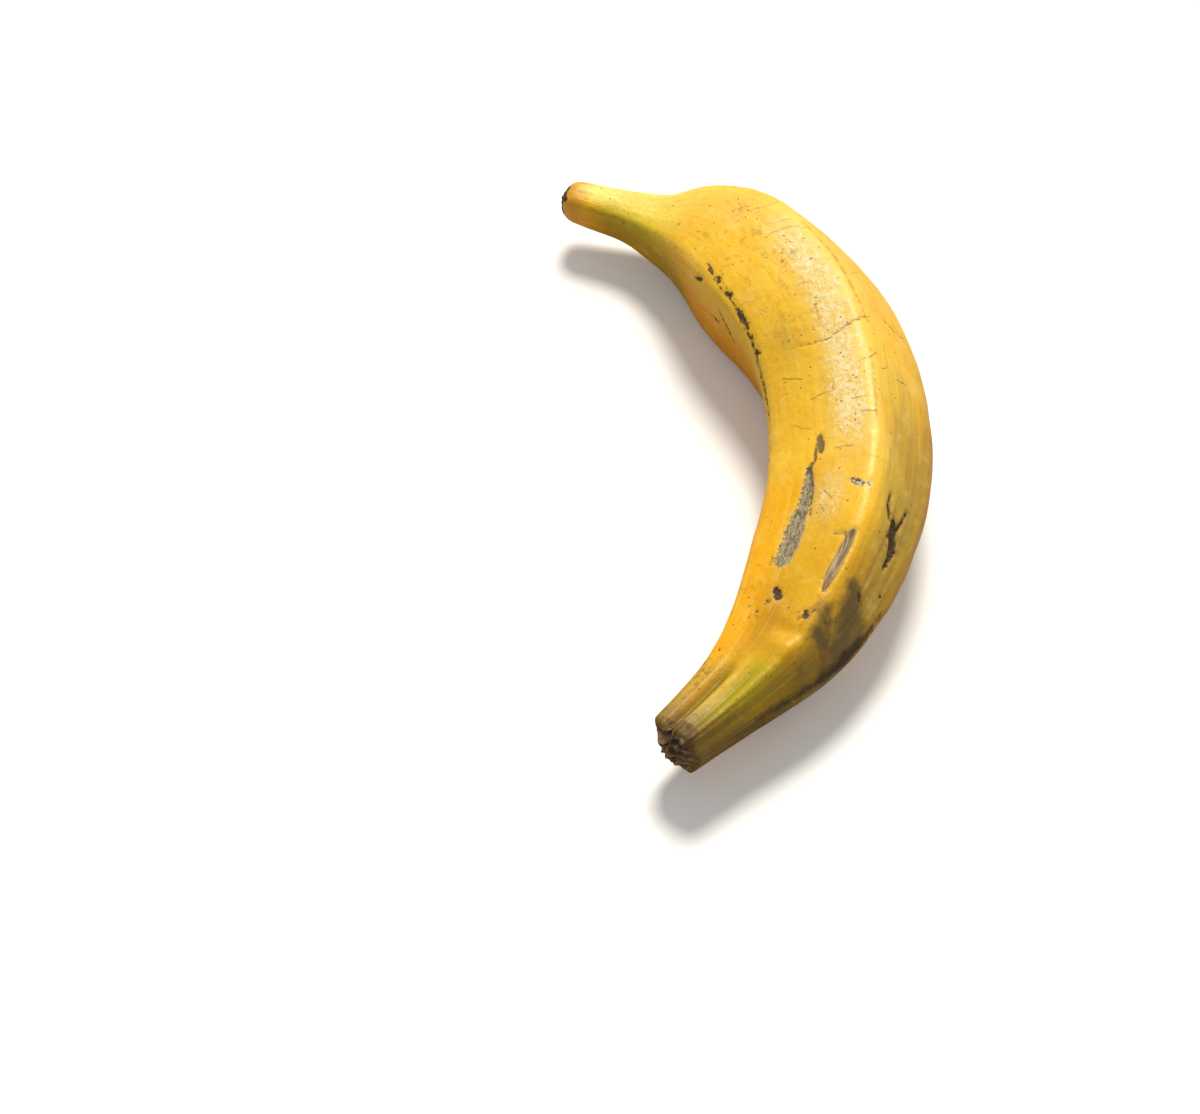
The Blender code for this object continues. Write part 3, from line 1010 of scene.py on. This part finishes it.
# Olive film where the peel has dried, streaked along its wrinkles.
dried = peel_value("wrinkled")
wrinkle_place = stretch(tree, grain_place, (0.05, 0.5, 0.5))
wrinkle = cloud(tree, wrinkle_place, 1.0, 3.0, 0.6)
film = marked("olive_film", 160.0, 9.0, 9.0)
streaked_film = times(tree, film, fade(tree, wrinkle, 0.34, 0.66, 0.25, 1.0))
color = lay(streaked_film, 0.62, DRY_OLIVE)
wrinkle_lines = times(tree, dried, fade(tree, wrinkle, 0.60, 0.72))
color = lay(wrinkle_lines, 0.45, WRINKLE_BROWN)

# Whitish wax, broken into patches, on the upper outside ridge and the neck, where it is also a painted
# highlight: the peel is painted paler where the lamp's sheen falls on the top face.
wax_and_highlight_area = peel_value("wax_and_painted_highlight")
wax_patches = cloud(tree, place, 620.0, 5.0, 0.75)
wax_level = compute(tree, "ADD", times(tree, wax_and_highlight_area, 0.42), wax_patches)
wax = fade(tree, wax_level, 0.72, 1.04)
color = lay(wax_and_highlight_area, 0.16, WAX_CREAM_AND_HIGHLIGHT)
wax_and_highlight_cover = times(tree, wax, fade(tree, small_cloud, 0.0, 1.0, 0.80, 0.36))
color = blend(tree, wax_and_highlight_cover, color, WAX_WHITE_AND_HIGHLIGHT)

# Freckles: brown dots, denser in some parts, and fine dark breathing pores, most of them in the wax.
def dots(dot_place, scale, output):
    """Scattered dots: the distance from the nearest one, or a colour of its own to pick it by."""
    return add(tree, "TexVoronoi", {"Vector": dot_place, "Scale": scale, "Randomness": 1.0}, output=output)


pores = dots(place, 420.0, "Distance")
pore_pick = dots(place, 420.0, "Color")
pore_chance = add(tree, "SeparateColor", {"Color": pore_pick}, output=0)
pore_share = compute(tree, "ADD", times(tree, wax_and_highlight_area, 0.42), 0.20)
pore_here = compute(tree, "LESS_THAN", pore_chance, pore_share)
pore_mask = times(tree, fade(tree, pores, 0.19, 0.09), pore_here)
color = lay(pore_mask, 0.78, PORE_BROWN)
freckle_place = add(tree, "Mapping", {"Vector": place, "Rotation": (0.4, 0.9, 0.2)})
freckles = dots(freckle_place, 150.0, "Distance")
freckle_pick = dots(freckle_place, 150.0, "Color")
freckle_chance = add(tree, "SeparateColor", {"Color": freckle_pick}, output=1)
freckle_share = compute(tree, "ADD", times(tree, peel_value("freckled"), 0.45), 0.32)
freckle_here = compute(tree, "LESS_THAN", freckle_chance, freckle_share)
freckle_edge = compute(tree, "ADD", freckles, times(tree, skin_grain, 0.10))
freckle_mask = times(tree, fade(tree, freckle_edge, 0.17, 0.10), freckle_here)
color = lay(freckle_mask, 0.75, FRECKLE_BROWN)
# Rusty blotches, small and blurred.
blotch = cloud(tree, place, 330.0, 3.0, 0.55, 0.8)
blotch_limit = compute(tree, "ADD", blotch, times(tree, peel_value("freckled"), 0.09))
blotch_mask = fade(tree, blotch_limit, 0.655, 0.74)
color = lay(blotch_mask, 0.50, BLOTCH_RUST)

# Green speckles on the neck and brown ones beside the stem.
speckle = cloud(tree, stretch(tree, grain_place, (0.5, 1.1, 1.1)), 1.0, 3.0, 0.7)
neck_speckle = times(tree, peel_value("speckled_neck"), fade(tree, speckle, 0.54, 0.64))
color = lay(neck_speckle, 0.34, NECK_GREEN)
stem_speckle = cloud(tree, place, 620.0, 3.0, 0.65)
stem_speckle = times(tree, peel_value("speckled_stem"), fade(tree, stem_speckle, 0.515, 0.60))
color = lay(stem_speckle, 0.72, SPECKLE_BROWN)

# The last centimetre by the stem is browned, fine scuffs run along and across the body, and pale
# patches cloud it beyond the green end.
stem_from = add(tree, "Attribute", {}, output="Fac", attribute_name="stem_distance")
browned = compute(tree, "ADD", stem_from, times(tree, small_cloud, 6.0))
color = blend(tree, fade(tree, browned, 17.0, 3.0, 0.0, 0.78), color, STEM_BROWN)
scuff_along = cloud(tree, stretch(tree, grain_place, (0.16, 1.5, 1.5)), 1.0, 2.0, 0.6)
scuff_across = cloud(tree, stretch(tree, grain_place, (1.6, 0.22, 0.22)), 1.0, 2.0, 0.6)
scuff = largest(tree, fade(tree, scuff_along, 0.68, 0.75), fade(tree, scuff_across, 0.69, 0.75))
color = lay(scuff, 0.50, SCUFF_BROWN)
pale_patch = fade(tree, cloud(tree, place, 150.0, 4.0, 0.65), 0.50, 0.74)
pale_share = fade(tree, stem_from, 26.0, 60.0, 0.0, 0.34)
color = lay(pale_patch, pale_share, PATCH_YELLOW)

# Hairlines, all wavering a little, and rusty edges where the ridges have rubbed.
waver = add(tree, "TexNoise", {"Vector": place, "Scale": 380.0, "Detail": 2.0}, output="Color")
waver = add(tree, "VectorMath", {0: waver, 1: (0.5, 0.5, 0.5)}, operation="SUBTRACT")
waver = add(tree, "VectorMath", {0: waver, "Scale": 2.2 * MM}, operation="SCALE")
wavering_map = add(tree, "VectorMath", {0: map_position, 1: waver}, operation="ADD")
wavering_map = add(tree, "VectorMath", {0: wavering_map, 1: (1, 1, 0)}, operation="MULTIPLY")
lines = None
for line_start, line_end, line_half in HAIRLINES:
    line = use_group(
        tree,
        hairline,
        {
            "Place": wavering_map,
            "Start": map_place(*line_start),
            "End": map_place(*line_end),
            "Half Width": line_half * MM,
        },
    )
    lines = line if lines is None else largest(tree, lines, line)
color = lay(lines, 0.68, LINE_BROWN)
rust = marked("rusty_edge", 500.0, 2.6, 0.9)
color = lay(rust, 0.48, EDGE_RUST)

# Bruises: grey-brown clouds under the skin with browner rims, darkened further as painted shade over the
# lower outside face, and the rotted edge of the ridge.
bruise_and_shade_patch = cloud(tree, place, 120.0, 3.0, 0.5, 0.4)
bruise_and_shade_rim = fade(tree, compute(tree, "ABSOLUTE", compute(tree, "SUBTRACT", bruise_and_shade_patch, 0.47)), 0.05, 0.0)
bruise_and_shade = marked("bruises_and_shade", 200.0, 5.0, 4.5)
bruise_and_shade_core = fade(tree, bruise_and_shade_patch, 0.38, 0.58, 0.35, 0.95)
color = lay(bruise_and_shade, bruise_and_shade_core, BRUISE_AND_SHADE_GREY)
bruise_and_shade_rims = times(tree, bruise_and_shade, bruise_and_shade_rim)
color = lay(bruise_and_shade_rims, 0.45, BRUISE_AND_SHADE_RIM)
rot = marked("dark_ridge", 420.0, 3.2, 2.4)
color = lay(rot, 0.90, ROT_BLACK)

# The crack, the grey mark, the pits and the black spots, each with a brown rim.
dark_rims = largest(tree, marked("pits", 700.0, 1.2, 1.6), marked("black_spots", 700.0, 1.0, 1.3))
color = lay(dark_rims, 0.55, SPOT_RIM)
crack = marked("cracks", 800.0, 0.9, 0.55)
color = lay(crack, 0.72, CRACK_BROWN)
grey_flecks = fade(tree, cloud(tree, place, 1300.0, 2.0), 0.42, 0.60)
grey_paint = blend(tree, grey_flecks, *GREY_MARK_PAINTS)
color = blend(tree, marked("grey_mark", 900.0, 1.8, 0.5), color, grey_paint)
pit_paint = blend(tree, grey_flecks, *PIT_PAINTS)
dark_spots = largest(tree, marked("pits", 900.0, 2.0, 0.5), marked("black_spots", 900.0, 2.0, 0.4))
color = blend(tree, times(tree, dark_spots, 0.94), color, pit_paint)

# Silvery scar with a woolly, feathered edge, and the corky strip with its fibres.
wool = cloud(tree, stretch(tree, grain_place, (0.55, 1.5, 1.5)), 1.0, 5.0, 0.72)
silver_paint = blend(tree, fade(tree, wool, 0.38, 0.66), *SILVER_PAINTS)
feather_place = stretch(tree, grain_place, (1.15, 0.42, 0.42))
silver_edge = marked("silver_scar", 1.0, 3.8, 0.8, feather_place)
silver_halo = marked("silver_scar", 1.0, 5.0, 2.6, feather_place)
color = lay(silver_halo, 0.55, SCAR_HALO)
color = blend(tree, times(tree, silver_edge, 0.93), color, silver_paint)
hook_edge = marked("scar_hook", 900.0, 1.3, 0.6)
color = lay(hook_edge, 0.85, HOOK_GREY)
cork = cloud(tree, stretch(tree, grain_place, (0.10, 1.7, 1.7)), 1.0, 4.0, 0.6)
cork_paint = blend(tree, fade(tree, cork, 0.40, 0.60), *CORK_PAINTS)
cork_edge = marked("corky_strip", 700.0, 0.9, 0.5)
cork_rim = marked("corky_strip", 700.0, 0.9, 1.6)
color = lay(cork_rim, 0.6, CORK_RIM)
color = blend(tree, cork_edge, color, cork_paint)

# Brown dry collar round the torn stem, and the browned, then black, last millimetres of the tip.
collar = marked("brown_collar", 420.0, 3.4, 1.3)
collar_fibre = cloud(tree, stretch(tree, grain_place, (0.30, 0.8, 0.8)), 1.0, 4.0, 0.7)
collar_paint = blend(tree, fade(tree, collar_fibre, 0.36, 0.66), *COLLAR_PAINTS)
color = blend(tree, times(tree, collar, 0.80), color, collar_paint)
tip_distance = compute(tree, "SUBTRACT", LENGTH / MM, stem_from)
tip_wobble = times(tree, compute(tree, "SUBTRACT", cloud(tree, place, 350.0, 3.0), 0.5), 5.0)
tip_edge = compute(tree, "ADD", tip_distance, tip_wobble)
color = blend(tree, fade(tree, tip_edge, 9.5, 5.0, 0.0, 0.55), color, TIP_AMBER)
tip_black = fade(tree, tip_edge, 1.7, 0.7)
color = blend(tree, tip_black, color, TIP_BLACK)
tree.links.new(color, shader.inputs["Base Color"])

# Wax is smoother than bare skin, and scars, cork and rot are dry.
dry = largest(tree, silver_edge, cork_edge, collar, rot, dark_spots, tip_black)
roughness = fade(tree, small_cloud, 0.0, 1.0, 0.36, 0.48)
roughness = compute(tree, "SUBTRACT", roughness, times(tree, wax, 0.06))
roughness = compute(tree, "ADD", roughness, times(tree, fibre_dark, 0.06))
roughness = compute(tree, "ADD", roughness, times(tree, dry, 0.34), clamp=True)
tree.links.new(roughness, shader.inputs["Roughness"])
shader.inputs["Specular IOR Level"].default_value = PEEL_GLOSS
shader.inputs["Specular Tint"].default_value = GLOSS_TINT
shader.inputs["Coat Weight"].default_value = WAX_COAT
shader.inputs["Coat Roughness"].default_value = WAX_COAT_ROUGHNESS

# Fine relief that the mesh is too coarse for: skin pores, fibres, wax, the crack and the scars' grain.
# The hairlines are left out of it, because with them the shader outgrows the renderer's stack.
height = times(tree, skin_grain, 0.10)
for raised, raised_by in (
    (fibre, 0.12),
    (wax, 0.13),
    (cloud(tree, place, 520.0, 2.0), 0.20),
    (crack, -0.16),
    (freckle_mask, -0.05),
    (times(tree, wool, silver_edge), 0.35),
    (times(tree, cork, cork_edge), 0.45),
    (times(tree, collar_fibre, collar), 0.4),
):
    height = compute(tree, "ADD", height, times(tree, raised, raised_by))
add_bump(tree, shader, height, 1.0 * MM, 0.9)


# TORN STEM. Dead brown fibres in layers, straw-coloured where they are broken, with painted shade
# darkening the folds between the layers and a painted highlight paling their crests.
torn_stem, tree, shader = new_material("torn_stem")
place = add(tree, "TexCoord", {}, output="Object")
STRAND_TURN = (0.6, 0.3, 0.9)
STRAND_STRETCH = (3.2, 1.0, 1.0)
turned_place = add(
    tree, "Mapping", {"Vector": place, "Rotation": STRAND_TURN, "Scale": STRAND_STRETCH}
)
strands = cloud(tree, turned_place, 420.0, 5.0, 0.7, 0.3)
patches = cloud(tree, place, 320.0, 3.0, 0.6)
layer = add(tree, "Attribute", {}, output="Fac", attribute_name="torn_layer")
color = blend(tree, fade(tree, strands, 0.36, 0.62), (0.105, 0.064, 0.036, 1), (0.28, 0.175, 0.095, 1))
color = blend(tree, fade(tree, strands, 0.60, 0.74, 0.0, 0.7), color, (0.46, 0.33, 0.19, 1))
color = blend(tree, fade(tree, patches, 0.48, 0.66, 0.0, 0.6), color, (0.095, 0.056, 0.030, 1))
# Painted shade in the folds between the layers, and a painted highlight on their crests.
color = blend(tree, fade(tree, layer, 0.55, 0.10, 0.0, 0.85), color, (0.045, 0.026, 0.018, 1))
color = blend(tree, fade(tree, layer, 0.72, 1.05, 0.0, 0.55), color, (0.42, 0.28, 0.15, 1))
tree.links.new(color, shader.inputs["Base Color"])
tree.links.new(fade(tree, strands, 0.3, 0.7, 0.72, 0.92), shader.inputs["Roughness"])
shader.inputs["Specular IOR Level"].default_value = 0.25
add_bump(tree, shader, strands, 0.8 * MM, 0.9)


# BLOSSOM CAP. The dry grey-black scar that the flower leaves, cracked and slightly rough.
blossom_cap, tree, shader = new_material("blossom_cap")
place = add(tree, "TexCoord", {}, output="Object")
crust = cloud(tree, place, 700.0, 4.0, 0.7)
color = blend(tree, fade(tree, crust, 0.40, 0.68), (0.026, 0.022, 0.018, 1), (0.13, 0.11, 0.085, 1))
tree.links.new(color, shader.inputs["Base Color"])
tree.links.new(fade(tree, crust, 0.3, 0.7, 0.66, 0.86), shader.inputs["Roughness"])
add_bump(tree, shader, crust, 0.6 * MM, 0.8)

for material in (peel, torn_stem, blossom_cap):
    fruit_mesh.materials.append(material)
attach(fruit, "root")
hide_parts("plantain")
